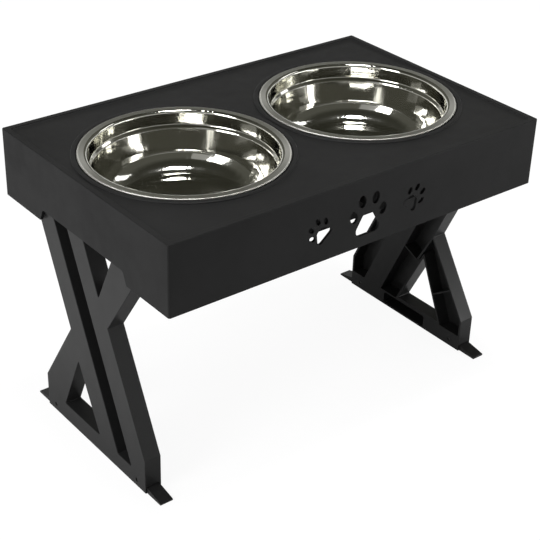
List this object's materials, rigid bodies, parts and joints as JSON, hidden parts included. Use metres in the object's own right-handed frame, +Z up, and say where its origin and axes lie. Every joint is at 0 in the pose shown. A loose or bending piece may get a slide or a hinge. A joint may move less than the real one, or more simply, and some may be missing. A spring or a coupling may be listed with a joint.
{
  "type": "elevated dog bowl",
  "caption": "Raised feeding stand: plastic tray with steel bowls set into its deck, paw-shaped cut-outs in front, and folding X-shaped legs with swing-out feet.",
  "frame": {"origin": "centre of the floor under the stand, between the legs", "axes": "+X along the tray from the left bowl to the right bowl, +Y to the back, +Z up"},
  "size_m": [0.45, 0.286, 0.301],
  "materials": {
    "tray_plastic": "matte moulded black plastic with a fine grain",
    "leg_plastic": "matte moulded black plastic with a fine grain",
    "bowl_steel": "stainless steel, polished inside, satin rim",
    "pin_steel": "plain steel pin",
    "pad_rubber": "matte black rubber"
  },
  "bodies": {
    "tray": {"tray": "tray_plastic", "hinge_pin_left_front": "pin_steel", "hinge_pin_left_rear": "pin_steel", "hinge_pin_right_front": "pin_steel", "hinge_pin_right_rear": "pin_steel"},
    "bowl_left": {"bowl_left": "bowl_steel"},
    "bowl_right": {"bowl_right": "bowl_steel"},
    "leg_left": {"leg_left": "leg_plastic", "foot_pin_left_front": "pin_steel", "foot_pin_left_rear": "pin_steel"},
    "leg_right": {"leg_right": "leg_plastic", "foot_pin_right_front": "pin_steel", "foot_pin_right_rear": "pin_steel"},
    "foot_left_front": {"foot_left_front": "leg_plastic", "foot_pad_left_front": "pad_rubber"},
    "foot_left_rear": {"foot_left_rear": "leg_plastic", "foot_pad_left_rear": "pad_rubber"},
    "foot_right_front": {"foot_right_front": "leg_plastic", "foot_pad_right_front": "pad_rubber"},
    "foot_right_rear": {"foot_right_rear": "leg_plastic", "foot_pad_right_rear": "pad_rubber"}
  },
  "joints": [
    {"name": "bowl_left_lift", "type": "slide", "parent": "tray", "child": "bowl_left", "axis": [0, 0, 1], "range_m": [0, 0.12]},
    {"name": "bowl_right_lift", "type": "slide", "parent": "tray", "child": "bowl_right", "axis": [0, 0, 1], "range_m": [0, 0.12]},
    {"name": "leg_left_fold", "type": "hinge", "parent": "tray", "child": "leg_left", "pos_m": [-0.1923, 0, 0.251], "axis": [0, -1, 0], "range_deg": [0, 90]},
    {"name": "leg_right_fold", "type": "hinge", "parent": "tray", "child": "leg_right", "pos_m": [0.1923, 0, 0.251], "axis": [0, 1, 0], "range_deg": [0, 81]},
    {"name": "foot_left_front_swing", "type": "hinge", "parent": "leg_left", "child": "foot_left_front", "pos_m": [-0.2118, -0.0765, 0.008], "axis": [1, 0, 0], "range_deg": [0, 180]},
    {"name": "foot_left_rear_swing", "type": "hinge", "parent": "leg_left", "child": "foot_left_rear", "pos_m": [-0.2118, 0.0765, 0.008], "axis": [-1, 0, 0], "range_deg": [0, 180]},
    {"name": "foot_right_front_swing", "type": "hinge", "parent": "leg_right", "child": "foot_right_front", "pos_m": [0.2118, -0.0765, 0.008], "axis": [1, 0, 0], "range_deg": [0, 180]},
    {"name": "foot_right_rear_swing", "type": "hinge", "parent": "leg_right", "child": "foot_right_rear", "pos_m": [0.2118, 0.0765, 0.008], "axis": [-1, 0, 0], "range_deg": [0, 180]}
  ]
}
